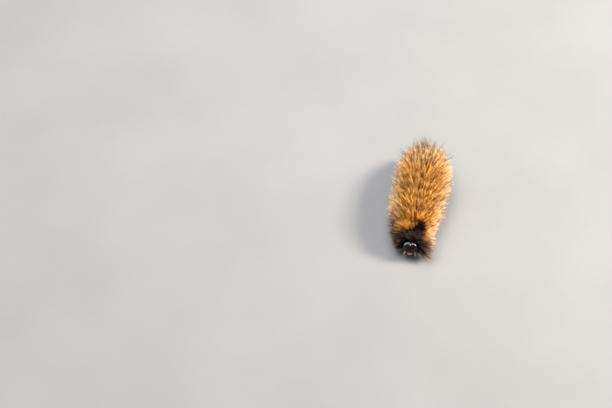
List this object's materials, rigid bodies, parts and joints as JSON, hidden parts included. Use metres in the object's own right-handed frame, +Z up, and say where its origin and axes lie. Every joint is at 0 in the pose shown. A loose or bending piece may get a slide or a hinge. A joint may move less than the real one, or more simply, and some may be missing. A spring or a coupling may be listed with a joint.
{
  "type": "tiger moth larva",
  "caption": "Still life-size model of a hairy tiger moth larva standing on its legs, with a gloss head and a thick ginger coat.",
  "frame": {"origin": "on the floor, under the middle of the coat's box", "axes": "+X to the larva's own left, +Y from head to tail, +Z up"},
  "size_m": [0.013, 0.0292, 0.0099],
  "materials": {
    "coat": "bristly ginger hair",
    "collar_coat": "bristly black-brown hair",
    "horn": "polished black shell",
    "mouth": "satin tan",
    "proleg": "dull dark brown skin"
  },
  "bodies": {
    "root": {"prothorax": "collar_coat", "thorax": "coat", "abdomen_front": "coat", "abdomen_middle": "coat", "abdomen_rear": "coat", "tail": "coat", "head": "horn", "labrum": "mouth", "mandible_left": "horn", "antenna_left": "mouth", "leg_1_left": "horn", "leg_2_left": "horn", "leg_3_left": "horn", "proleg_a3_left": "proleg", "proleg_a4_left": "proleg", "proleg_a5_left": "proleg", "proleg_a6_left": "proleg", "clasper_left": "proleg", "mandible_right": "horn", "antenna_right": "mouth", "leg_1_right": "horn", "leg_2_right": "horn", "leg_3_right": "horn", "proleg_a3_right": "proleg", "proleg_a4_right": "proleg", "proleg_a5_right": "proleg", "proleg_a6_right": "proleg", "clasper_right": "proleg"}
  },
  "joints": []
}
